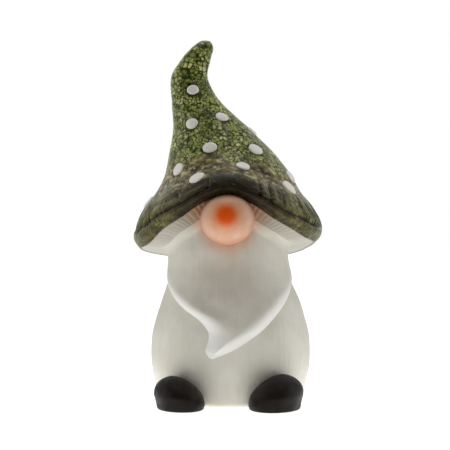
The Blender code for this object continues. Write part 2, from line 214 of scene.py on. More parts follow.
def neck_height(angle):
    """Height of the shoulder that carries the gill ring."""
    return HAT_SECTIONS[0][0] * MM + NECK_SHARE * lip_rise(angle)


def noise_at(points, scale, seed=0.0):
    """Smooth noise between about -1 and 1; scale is the size of its lumps in metres, or three sizes."""
    scaled = points / np.asarray(scale) + seed
    flat = [noise.noise(p) for p in scaled.reshape(-1, 3).tolist()]
    return np.array(flat).reshape(points.shape[:-1])


def smooth(x, low, high):
    """0 below low, 1 above high, eased in between."""
    t = np.clip((x - low) / (high - low), 0, 1)
    return t * t * (3 - 2 * t)


def angles(count):
    return -pi + 2 * pi * np.arange(count) / count


def turn_between(a, b):
    """Signed angle from b to a, between -pi and pi."""
    return (a - b + pi) % (2 * pi) - pi


# ---------------------------------------------------------------- pieces


def add_object(name, points, faces):
    """A smooth mesh object whose faces point outwards."""
    mesh = bpy.data.meshes.new(name)
    mesh.from_pydata(points.tolist(), [], faces)
    mesh.update()
    mesh.calc_loop_triangles()
    corners = np.empty(len(mesh.loop_triangles) * 3, int)
    mesh.loop_triangles.foreach_get("vertices", corners)
    a, b, c = points[corners.reshape(-1, 3)].transpose(1, 0, 2)
    if (np.cross(a, b) * c).sum() < 0:
        mesh.flip_normals()
    mesh.shade_smooth()
    mesh.set_sharp_from_angle(angle=radians(55))
    obj = bpy.data.objects.new(name, mesh)
    bpy.context.scene.collection.objects.link(obj)
    return obj


def loft(name, rows, end_points=None, flat_ends=False):
    """A closed surface through rows of points that each run right round. Its ends are closed with one
    point each, or across each row's own two sides, or else they are joined to each other."""
    count, columns = rows.shape[:2]
    points = rows.reshape(-1, 3)
    index = np.arange(count * columns).reshape(count, columns)
    after = index if end_points is None and not flat_ends else index[:-1]
    upper = np.roll(index, -1, 0)[: len(after)]
    quads = np.stack((after, np.roll(after, -1, 1), np.roll(upper, -1, 1), upper), -1)
    faces = quads.reshape(-1, 4).tolist()
    if end_points is not None:
        points = np.concatenate((points, np.array(end_points)))
        for row, centre, step in ((index[0], count * columns, -1), (index[-1], count * columns + 1, 1)):
            faces += [(a, b, centre)[::step] for a, b in zip(row.tolist(), np.roll(row, -1).tolist())]
    if flat_ends:
        for row, step in ((index[0].tolist(), -1), (index[-1].tolist(), 1)):
            for i in range(columns // 2):
                corners = list(dict.fromkeys((row[i], row[i + 1], row[-i - 1], row[-i])))
                faces.append(tuple(corners[::step]))
    return add_object(name, points, faces)


def paint(obj, name, values):
    """Stores one value per vertex, for the glaze to read."""
    layer = obj.data.attributes.new(name, "FLOAT", "POINT")
    padded = np.zeros(len(obj.data.vertices), np.float32)
    values = np.asarray(values, np.float32).ravel()
    padded[: len(values)] = values
    layer.data.foreach_set("value", padded)


def points_of(obj):
    flat = np.empty(len(obj.data.vertices) * 3)
    obj.data.vertices.foreach_get("co", flat)
    return flat.reshape(-1, 3)


def centre_of(node):
    low, high = (np.array(corner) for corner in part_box(node))
    return (low + high) / 2, (high - low) / 2


def stand_for(obj, node, material):
    obj.data.materials.append(material)
    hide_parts(node)
    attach(obj, "root")


# ---------------------------------------------------------------- hat


def brim_pleats():
    """The front pleats, and irregular ones round the rest of the brim."""
    rng = np.random.default_rng(5)
    pleats = list(FRONT_PLEATS)
    for side in (-1, 1):
        at = 44.0
        while at < 178:
            close = 50 < at < 92
            depth = rng.uniform(0.6, 1.3) if close else rng.uniform(0.3, 0.8)
            lean = side * rng.uniform(0.5, 1.5)
            pleats.append((side * at, lean, rng.uniform(0.9, 1.6), rng.uniform(2.6, 3.6), depth, 0.75))
            at += rng.uniform(2.0, 3.6) if close else rng.uniform(3.5, 8.0)
    return pleats


def hat_relief(station, angle):
    """Height of the modelled detail of the hat over its plain surface."""
    degrees = np.degrees(angle)
    front = np.abs(degrees)
    wobble = noise_at(np.stack((np.cos(angle) * 3, np.sin(angle) * 3, angle * 0), -1), 1.0)
    groove = 1.5 - 0.17 * np.sin(angle) + 0.16 * wobble
    depth = smooth(front, 6, 20) * (2.1 - 1.8 * smooth(front, 52, 88))
    offset = station - groove
    depth = depth * (0.8 + 0.35 * wobble)
    relief = -depth * np.exp(-((offset / 0.17) ** 2))
    relief += 0.55 * depth * np.exp(-(((offset - 0.42) / 0.3) ** 2))
    relief += 0.35 * np.exp(-(((offset + 0.6) / 0.35) ** 2))
    for at, lean, first, last, deep, half in brim_pleats():
        away = np.degrees(turn_between(angle, np.radians(at + lean * (station - groove))))
        reach = smooth(station, first, first + 0.35) * (1 - smooth(station, last - 0.8, last))
        crease = np.exp(-((away / half) ** 2))
        fold = np.exp(-(((away - 1.9 * half) / (1.5 * half)) ** 2))
        relief += deep * reach * (0.45 * fold - crease)
    return relief * MM


def make_hat(material, spots):
    columns = 576
    turn = angles(columns)
    stations = np.concatenate((np.arange(0, 3.6, 0.055), np.arange(3.6, TIP_STATION - 0.02, 0.085)))
    station, angle = np.meshgrid(stations, turn, indexing="ij")
    plain = hat_points(station, angle)
    normal = normals_of(hat_points, station, angle, 0.01, 0.01)
    lumps = 0.55 * MM * noise_at(plain, 22 * MM) + 0.22 * MM * noise_at(plain, 8 * MM, 7.3)
    lumps *= smooth(station, 0.2, 1.0)
    relief = hat_relief(station, angle)
    outer = plain + normal * (relief + lumps)[..., None]
    gallery = np.stack(
        [
            gallery_row(turn, GALLERY_HALF_WIDTH, 0.3 * MM),
            gallery_row(turn, GALLERY_HALF_WIDTH, GALLERY_DEPTH),
            gallery_row(turn, GALLERY_HALF_WIDTH - LEDGE_WIDTH, GALLERY_DEPTH),
        ]
    )
    inside, angle_inside = np.meshgrid(np.linspace(2.6, 9.6, 24), turn, indexing="ij")
    inner = hat_points(inside, angle_inside)
    inner -= normals_of(hat_points, inside, angle_inside, 0.01, 0.01) * WALL
    rows = np.concatenate((outer[::-1], gallery, inner))
    tip = hat_points(np.array(float(TIP_STATION)), np.array(0.0))
    top = inner[-1].mean(0) + (0, 0, 2 * MM)
    obj = loft("hat", rows, (tip, top))
    place = np.concatenate((station[::-1], np.zeros((len(rows) - len(outer), columns))))
    bare = np.concatenate((np.zeros(outer.shape[:2]), np.ones((len(rows) - len(outer), columns))))
    around = np.concatenate((angle[::-1], np.zeros((len(rows) - len(outer), columns))))
    carved = np.concatenate((relief[::-1], np.zeros((len(rows) - len(outer), columns)))) / MM
    # Painted shade in the creases of the brim.
    paint(obj, "crease", smooth(-carved, 0.2, 1.4))
    # Painted highlight along the raised folds.
    paint(obj, "ridge_highlight", smooth(carved, 0.12, 0.6))
    paint(obj, "station", np.append(place.ravel(), TIP_STATION))
    paint(obj, "bare_clay", bare)
    paint(obj, "front", np.exp(-((np.degrees(around) / 42) ** 2)))
    points = points_of(obj)
    # Around each spot: darker glaze pooled at its edge, with a painted shadow stronger below it.
    pool_and_shadow = np.zeros(len(points))
    for node in spots:
        centre, _ = centre_of(node)
        away = np.linalg.norm(points - centre, axis=1) / MM
        below = smooth(centre[2] - points[:, 2], -4 * MM, 5 * MM)
        pool_and_shadow = np.maximum(pool_and_shadow, (0.35 + 0.65 * below) * (1 - smooth(away, 6.3, 8.3)))
    paint(obj, "pool_and_shadow", pool_and_shadow)
    stand_for(obj, "hat_shell", material)
    return obj


def gallery_row(turn, half_width, height):
    """A row inside the lip, at a height above the lip's lower edge."""
    lip_height, x, y, lip_half_width, lip_half_depth, _ = HAT_SECTIONS[0] * MM
    half_depth = half_width - (lip_half_width - lip_half_depth)
    return on_ellipse(turn, x, y, half_width, half_depth, lip_height + height + lip_rise(turn))


# ---------------------------------------------------------------- body, gills and beard


def make_body(material, shoes):
    columns = 256
    turn = angles(columns)
    curve = np.linspace(0, pi / 2, 7)
    foot_heights = FOOT_EDGE * (1 - np.cos(curve))
    foot_insets = FOOT_EDGE * (1 - np.sin(curve))
    foot = np.stack([body_points(turn, h, -i) for h, i in zip(foot_heights, foot_insets)])
    side_heights = np.arange(FOOT_EDGE + 1.6 * MM, 110 * MM, 1.6 * MM)
    side = np.stack([body_points(turn, h + turn * 0) for h in side_heights])
    top = neck_height(turn) - 0.2 * MM
    rest = np.stack([body_points(turn, 111 * MM + (top - 111 * MM) * t) for t in np.linspace(0, 1, 24)])
    outer = np.concatenate((foot, side, rest))
    outward = outer * (1, 1, 0) - (2 * MM, AXIS_Y, 0)
    outward /= np.linalg.norm(outward, axis=-1, keepdims=True)
    uneven = 0.45 * MM * noise_at(outer, 34 * MM, 3.1)
    uneven += 0.13 * MM * noise_at(outer, np.array((5, 5, 60)) * MM, 1.7)
    uneven *= smooth(outer[..., 2], 1 * MM, 9 * MM)
    outer = outer + outward * uneven[..., None]
    neck_top = top + NECK_LENGTH
    neck = np.stack(
        [
            body_points(turn, top, -NECK_STEP),
            body_points(turn, neck_top, -NECK_STEP),
            body_points(turn, neck_top, -NECK_STEP - WALL),
        ]
    )
    inner_heights = np.arange(112, 5, -6) * MM
    insets = WALL + NECK_STEP * smooth(inner_heights, 95 * MM, 110 * MM)
    inner = np.stack([body_points(turn, h + turn * 0, -i) for h, i in zip(inner_heights, insets)])
    base = np.stack(
        [
            body_points(turn, WALL + turn * 0, -WALL - 2 * MM),
            body_points(turn, WALL + turn * 0, -FOOT_RING_WIDTH + 1 * MM),
            body_points(turn, 4.5 * MM + turn * 0, -FOOT_RING_WIDTH),
            body_points(turn, 1 * MM + turn * 0, -FOOT_RING_WIDTH),
            body_points(turn, turn * 0, -FOOT_RING_WIDTH + 1 * MM),
        ]
    )
    rows = np.concatenate((outer, neck, inner, base))
    obj = loft("body", rows)
    bare = np.zeros(rows.shape[:2])
    bare[len(outer) :] = 1
    bare[0] = 1
    paint(obj, "bare_clay", bare)
    paint_spray_and_shade(obj, shoes)
    stand_for(obj, "body_shell", material)
    return obj


def paint_spray_and_shade(obj, shoes):
    """How far each point is inside the pink spray and the painted shade around the nose, and how close it
    is to the shoes, where the body is painted darker.
    """
    points = points_of(obj)
    centre, radii = centre_of("nose")
    away = (np.linalg.norm((points - centre) / radii, axis=1) - 1) * radii.mean() / MM
    paint(obj, "blush", 1 - smooth(away, 2.0, 19.0))
    # Painted shade round the nose: partly a painted shadow of the nose and gills, partly a darker spray.
    paint(obj, "shade", np.exp(-((np.maximum(away, 0) / 24) ** 2)))
    dark = np.zeros(len(points))
    for node in shoes:
        centre, radii = centre_of(node)
        away = (np.linalg.norm((points - centre) / radii, axis=1) - 1) * radii.mean() / MM
        dark = np.maximum(dark, 1 - smooth(away, -0.8, 1.6))
    # The body is painted darker right next to the shoes.
    paint(obj, "darker_by_shoes", dark)


def gill_points(across, turn, rise):
    """Points of the gill ring, from the neck at 0 to the gallery at 1, above the shoulder by a rise."""
    base, x, y, lip_half_width, lip_half_depth, _ = HAT_SECTIONS[0] * MM
    outer_width = GALLERY_HALF_WIDTH - 0.05 * MM
    outer_depth = outer_width - (lip_half_width - lip_half_depth)
    neck_width, neck_x = BODY_SECTIONS[-1] * MM
    inner_width = neck_width - NECK_STEP + 0.1 * MM
    inner_depth = neck_width * BODY_DEPTH_RATIO - NECK_STEP + 0.1 * MM
    inner = on_ellipse(turn, neck_x, 0, inner_width, inner_depth, 0)
    outer = on_ellipse(turn, x, y, outer_width, outer_depth, 0)
    share = NECK_SHARE + (1 - NECK_SHARE) * across
    points = inner + (outer - inner) * across
    points[..., 2] = base + share * lip_rise(turn) + rise
    return points


def make_gills(material, shoes):
    columns = GILL_COUNT * 8
    turn = angles(columns)
    uneven = noise_at(np.stack((np.cos(turn) * 9, np.sin(turn) * 9, turn * 0), -1), 1.0)
    phase = turn * GILL_COUNT / 2 + 0.9 * uneven
    valley = 1 - np.abs(np.sin(phase)) ** 0.8
    across = np.linspace(0, 1, 26)
    depth = smooth(across, 0.25, 0.7) * (0.95 - 0.4 * smooth(across, 0.85, 1.0))
    lower = []
    for share, deep in zip(across, depth):
        rise = 0.25 * MM + deep * MM * valley * (1 + 0.35 * uneven)
        lower.append(gill_points(share, turn, rise))
    lower = np.stack(lower)
    collar = 5 / 28
    upper = np.stack(
        [
            gill_points(1, turn, 5.2 * MM),
            gill_points(collar * 1.3, turn, 5.2 * MM),
            gill_points(collar, turn, 11 * MM),
            gill_points(0, turn, 11 * MM),
        ]
    )
    obj = loft("gills", np.concatenate((lower, upper)))
    # Painted shade in the gill valleys and along the outer edge under the hat's lip.
    valley_shade = np.outer(depth / depth.max(), valley**2.2)
    valley_shade = np.maximum(valley_shade, 0.9 * smooth(across, 0.93, 1.0)[:, None])
    paint(obj, "valley", valley_shade)
    bare = np.zeros((len(lower) + len(upper), columns))
    bare[len(lower) :] = 1
    paint(obj, "bare_clay", bare)
    paint_spray_and_shade(obj, shoes)
    stand_for(obj, "gill_ring", material)
    return obj


def beard_rise(angle, distance, below_gills):
    """Outer height of the beard over the body: rounded at its edge, hollowed inside it."""
    facing = np.maximum(0, np.cos(angle)) ** 2
    full = (3.2 + 3.8 * facing) * MM
    edge = np.minimum(distance / BEARD_LIP_WIDTH, 1)
    roll = 1 - (1 - edge) ** 2
    dish = smooth(distance, *BEARD_DISH) * BEARD_DISH_DEPTH * facing
    flare = np.clip(BEARD_FILLET - below_gills, 0, BEARD_FILLET)
    return full * (0.12 * np.sqrt(roll) + 0.88 * roll) - dish + 0.5 * flare**2 / BEARD_FILLET * edge


def gill_height(angle, rise):
    """Height of the gills' underside over the body, a little way out from its neck."""
    across = (rise + NECK_STEP) / (27 * MM)
    return HAT_SECTIONS[0][0] * MM + (NECK_SHARE + (1 - NECK_SHARE) * across) * lip_rise(angle)


def make_beard(material, shoes):
    across = (1 - np.cos(np.linspace(0, pi, 161))) / 2
    stations = np.linspace(0, len(BEARD_LEFT) - 1, 190)
    left = spline(BEARD_LEFT, stations)
    right = spline(BEARD_RIGHT, stations)
    step = across[None, :, None]
    line = left[:, None] + (right - left)[:, None] * step
    angle = np.radians(line[..., 0])
    top_share = np.maximum(0, 1 - stations / 2.5)[:, None] ** 2
    half_span = np.radians(right[:, 0] - left[:, 0])[:, None] / 2
    level = line[..., 1] * MM
    radius = body_points(angle * 0 + pi / 2, level)[..., 0]
    distance = (1 - np.abs(2 * across[None] - 1)) * half_span * radius
    start = BEARD_LEFT[0][1] * MM
    top = gill_height(angle, beard_rise(angle, distance, 0 * angle)) + 0.6 * MM
    height = level + top_share * (top - start)
    rise = beard_rise(angle, distance, top - height)
    face = body_points(angle, height, rise + 0.15 * MM)
    strokes = 0.25 * MM * noise_at(face, np.array((14, 14, 45)) * MM, 4.4)
    strokes *= smooth(distance, 0, 4 * MM)
    face = body_points(angle, height, rise + 0.15 * MM + strokes)
    height = level + top_share * (neck_height(angle) - 0.1 * MM - start)
    back = body_points(angle, height, -0.9 * MM)
    rows = np.concatenate((face, back[:, -2:0:-1]), 1)
    obj = loft("beard_piece", rows, flat_ends=True)
    # How close the beard's face comes to the gills, where its painted shade grows.
    near = smooth(BEARD_FILLET - (top - level - top_share * (top - start)), 0, BEARD_FILLET)
    hidden = np.zeros(back[:, -2:0:-1].shape[:2])
    paint(obj, "near_gills", np.concatenate((near, hidden), 1))
    # The lip mask carries a painted highlight along the beard's edge.
    paint(obj, "lip", np.concatenate((1 - smooth(distance, *BEARD_LIP_HIGHLIGHT), hidden), 1))
    paint_spray_and_shade(obj, shoes)
    stand_for(obj, "beard", material)
    return obj


# ---------------------------------------------------------------- nose, shoes and spots


def ball(name, centre, radii, turn_by, shape, powers, floor=None):
    """A rounded lump. The first power shapes its profile above the middle and the second below it: above 2
    fills it out and below 2 draws it in. A floor cuts it flat at height 0, with a soft edge."""
    columns = 128
    turn = angles(columns)
    polar = np.linspace(0, pi, 81)[1:-1]
    theta, phi = np.meshgrid(polar, turn, indexing="ij")
    direction = np.stack((np.sin(theta) * np.sin(phi), -np.sin(theta) * np.cos(phi), np.cos(theta)), -1)
    power = powers[0] + (powers[1] - powers[0]) * smooth(-direction[..., 2], -0.25, 0.35)
    size = (np.sin(theta) ** power + np.abs(np.cos(theta)) ** power) ** (-1 / power)
    local = direction * size[..., None] * radii
    local = shape(local)
    c, s = cos(turn_by), sin(turn_by)
    points = local.copy()
    points[..., 0] = c * local[..., 0] - s * local[..., 1]
    points[..., 1] = s * local[..., 0] + c * local[..., 1]
    points += centre
    ends = np.array((points[0].mean(0), points[-1].mean(0)))
    if floor is not None:
        points[..., 2] = soft_floor(points[..., 2], floor)
        ends[:, 2] = soft_floor(ends[:, 2], floor)
    return loft(name, points, ends)


def soft_floor(height, soft):
    """Heights below 0 become 0, with a bend of a given size."""
    return 0.5 * (height + np.sqrt(height**2 + soft**2)) - 0.5 * (np.sqrt(soft**2 + 0.02**2) - 0.02)


def make_nose(material):
    centre, radii = centre_of("nose")

    def lumpy(points):
        return points * (1 + 0.008 * noise_at(points, 16 * MM, 2.0)[..., None])

    obj = ball("nose_ball", centre, radii, 0.0, lumpy, (2.0, 2.0))
    core = centre + (-1.0 * MM, -radii[1] * 0.97, 3.2 * MM)
    away = np.linalg.norm(points_of(obj) - core, axis=1) / MM
    paint(obj, "core", np.exp(-((away / 9.0) ** 3)))
    paint(obj, "halo", np.exp(-((away / 13.8) ** 3)))
    paint(obj, "rim", smooth(away, 19.0, 27.0))
    stand_for(obj, "nose", material)
    return obj


def make_shoe(node, side, material):
    middle = SHOE_CENTRE * (side, 1, 1) + (0, AXIS_Y, 0)

    def bulge(points):
        points = points.copy()
        points[..., 0] += side * SHOE_LEAN * smooth(points[..., 2], -7 * MM, 17 * MM)
        points *= 1 + 0.01 * noise_at(points, 18 * MM, 5.0 + side)[..., None]
        return points

    radii = SHOE_RADII * SHOE_SIZES[node]
    obj = ball(node + "_piece", middle, radii, -side * SHOE_TOE_OUT, bulge, SHOE_POWERS, SHOE_SOLE_EDGE)
    stand_for(obj, node, material)
    return obj


def make_spot(node, hat_tree, material):
    """A button of clay pressed on the hat, following its surface."""
    centre, half = centre_of(node)
    seat, normal, _, _ = hat_tree.find_nearest(Vector(centre))
    number = int(node[-2:])
    side = Vector((0, 0, 1)).cross(normal).normalized()
    other = normal.cross(side)
    size = (np.linalg.norm(half) - 0.5 * MM) / (7.6 * MM)
    columns = 40
    turn = 2 * pi * np.arange(columns) / columns
    wobble = np.array([noise.noise((cos(t), sin(t), number * 3.7)) for t in turn])
    stretch = size * (1 + 0.06 * wobble)
    shares = np.array((0.12, 0.3, 0.48, 0.64, 0.78, 0.88, 0.95, 0.985, 1.0))
    heights = 0.35 + 1.0 * (1 - shares**5) ** 0.5 + 0.12 * (1 - shares**2)
    heights[-1] = 0.1
    top, bottom = [], []
    for share, height in zip(shares, heights):
        for row, level in ((top, height * MM), (bottom, -SPOT_SINK)):
            ring = []
            for t, r in zip(turn, stretch * share):
                flat = side * (cos(t) * r * SPOT_HALF_WIDTH) + other * (sin(t) * r * SPOT_HALF_HEIGHT)
                start = seat + flat + normal * 6 * MM
                hit, facing, _, _ = hat_tree.ray_cast(start, -normal, 20 * MM)
                at = start - normal * 6 * MM if hit is None else hit
                ring.append(at + normal * level)
            row.append(np.array([tuple(p) for p in ring]))
    rows = np.stack(top + bottom[::-1])
    middle = np.array(tuple(seat))
    up = np.array(tuple(normal))
    obj = loft(f"button_{number:02d}", rows, (middle + up * 1.47 * MM, middle - up * SPOT_SINK))
    stand_for(obj, node, material)
    return obj


# ---------------------------------------------------------------- glazes


class Glaze:
    """A Principled material, with short calls for its nodes."""

    def __init__(self, name):
        self.material = bpy.data.materials.new(name)
        self.material.use_nodes = True
        self.tree = self.material.node_tree
        self.shader = self.tree.nodes["Principled BSDF"]
        place = self.node("ShaderNodeTexCoord").outputs["Object"]
        self.mm = self.math("MULTIPLY_VECTOR", place, (1 / MM,) * 3)

    def node(self, kind, **settings):
        made = self.tree.nodes.new(kind)
        for key, value in settings.items():
            setattr(made, key, value)
        return made

    def put(self, socket, value):
        if isinstance(value, bpy.types.NodeSocket):
            self.tree.links.new(value, socket)
        elif value is not None:
            socket.default_value = value

    def math(self, operation, *values):
        if operation.endswith("_VECTOR"):
            made = self.node("ShaderNodeVectorMath", operation=operation[:-7])
        else:
            made = self.node("ShaderNodeMath", operation=operation)
        for socket, value in zip(made.inputs, values):
            self.put(socket, value)
        return made.outputs[0]

    def attribute(self, name):
        return self.node("ShaderNodeAttribute", attribute_name=name).outputs["Fac"]

    def noise(self, size, detail=3.0, roughness=0.55, seed=0.0, vector=None):
        """Noise with lumps of a size in millimetres, or of three sizes."""
        sizes = size if isinstance(size, tuple) else (size,) * 3
        moved = self.math("ADD_VECTOR", vector or self.mm, (seed * 31.0, seed * 17.0, seed * 53.0))
        scaled = self.math("DIVIDE_VECTOR", moved, sizes)
        made = self.node("ShaderNodeTexNoise")
        self.put(made.inputs["Vector"], scaled)
        self.put(made.inputs["Scale"], 1.0)
        self.put(made.inputs["Detail"], detail)
        self.put(made.inputs["Roughness"], roughness)
        return made.outputs["Fac"]

    def warp(self, size, amount):
        """The coordinates, pushed about by noise."""
        made = self.node("ShaderNodeTexNoise")
        self.put(made.inputs["Vector"], self.math("DIVIDE_VECTOR", self.mm, (size,) * 3))
        self.put(made.inputs["Scale"], 1.0)
        self.put(made.inputs["Detail"], 2.0)
        centred = self.math("SUBTRACT_VECTOR", made.outputs["Color"], (0.5,) * 3)
        return self.math("ADD_VECTOR", self.mm, self.math("MULTIPLY_VECTOR", centred, (amount * 2,) * 3))

    def cells(self, size, vector, feature="F1", randomness=1.0):
        made = self.node("ShaderNodeTexVoronoi", feature=feature)
        self.put(made.inputs["Vector"], self.math("DIVIDE_VECTOR", vector, (size,) * 3))
        self.put(made.inputs["Scale"], 1.0)
        self.put(made.inputs["Randomness"], randomness)
        return made

    def ramp(self, value, low, high, to_low=0.0, to_high=1.0):
        made = self.node("ShaderNodeMapRange", interpolation_type="SMOOTHSTEP")
        for socket, part in zip(made.inputs, (value, low, high, to_low, to_high)):
            self.put(socket, part)
        return made.outputs["Result"]

    def mix(self, share, first, second, blend="MIX"):
        made = self.node("ShaderNodeMix", data_type="RGBA", blend_type=blend)
        colours = [s for s in made.inputs if s.type == "RGBA"]
        self.put(made.inputs[0], share)
        self.put(colours[0], with_alpha(first))
        self.put(colours[1], with_alpha(second))
        return [s for s in made.outputs if s.type == "RGBA"][0]

    def bump(self, height, distance, strength=1.0, under=None):
        made = self.node("ShaderNodeBump")
        self.put(made.inputs["Height"], height)
        self.put(made.inputs["Distance"], distance * MM)
        self.put(made.inputs["Strength"], strength)
        self.put(made.inputs["Normal"], under)
        return made.outputs["Normal"]

    def finish(self, colour, roughness, normal, **fixed):
        self.put(self.shader.inputs["Base Color"], colour)
        self.put(self.shader.inputs["Roughness"], roughness)
        self.put(self.shader.inputs["Normal"], normal)
        for name, value in fixed.items():
            self.shader.inputs[name.replace("_", " ")].default_value = value
        return self.material


def with_alpha(colour):
    return (*colour, 1.0) if isinstance(colour, tuple) else colour


def srgb(red, green, blue):
    """Linear colour from screen values of 0 to 255."""
    shares = [value / 255 for value in (red, green, blue)]
    return tuple(((v + 0.055) / 1.055) ** 2.4 if v > 10 / 255 else v / 12.92 for v in shares)


CLAY = srgb(196, 176, 150)


def cream_glaze(name, gills=False):
    g = Glaze(name)
    cloudy = g.noise(28, 3, seed=1.0)
    colour = g.mix(g.ramp(cloudy, 0.35, 0.65), srgb(224, 221, 208), srgb(215, 211, 196))
    streaks = g.noise((4.0, 4.0, 45.0), 3, seed=2.0)
    colour = g.mix(g.ramp(streaks, 0.5, 0.75, 0.0, 0.22), colour, srgb(198, 194, 178))
    # Painted highlight: the beard's lip is whitened towards its edge.
    colour = g.mix(g.math("MULTIPLY", g.attribute("lip"), 0.8), colour, srgb(243, 243, 239))
    fleck = g.noise(0.7, 2, seed=3.0)
    colour = g.mix(g.ramp(fleck, 0.66, 0.76, 0.0, 0.25), colour, srgb(176, 168, 150))
    if gills:
        # Painted shade: the gill valleys and the gills' outer edge darkened.
        uneven = g.ramp(g.noise(9, 2, seed=4.0), 0.2, 0.6, 0.5, 1.0)
        gill_shade = g.math("MULTIPLY", g.attribute("valley"), uneven)
        colour = g.mix(g.math("MULTIPLY", gill_shade, 0.58), colour, srgb(140, 137, 126))
        colour = g.mix(0.38, colour, srgb(150, 149, 142))
    # Painted shade round the nose, stronger on the gills and on the beard near the gills.
    share = 0.95 if gills else g.ramp(g.attribute("near_gills"), 0.0, 1.0, 0.1, 0.75)
    shade = g.math("MULTIPLY", g.attribute("shade"), share)
    colour = g.mix(shade, colour, srgb(118, 110, 92) if gills else srgb(150, 142, 120))
    blush = g.math("MULTIPLY", g.attribute("blush"), g.ramp(g.noise(7, 2, seed=5.0), 0.2, 0.8, 0.6, 0.85))
    blush = g.math("MULTIPLY", blush, 0.45 if gills else 1.0)
    colour = g.mix(blush, colour, srgb(206, 134, 80))
    # Darker on the body next to the shoes.
    darker_by_shoes = g.math("MULTIPLY", g.attribute("darker_by_shoes"), g.ramp(g.noise(3, 2, seed=6.0), 0.3, 0.7, 0.0, 0.16))
    colour = g.mix(darker_by_shoes, colour, srgb(88, 74, 60))
    colour = g.mix(g.attribute("bare_clay"), colour, CLAY)
    roughness = g.ramp(g.noise(12, 3, seed=7.0), 0.3, 0.7, 0.38, 0.52)
    normal = g.bump(g.noise(1.6, 3, seed=8.0), 0.10)
    normal = g.bump(g.noise((3.0, 3.0, 26.0), 2, seed=9.0), 0.35, 1.0, normal)
    return g.finish(colour, roughness, normal, Coat_Weight=0.2, Coat_Roughness=0.3)


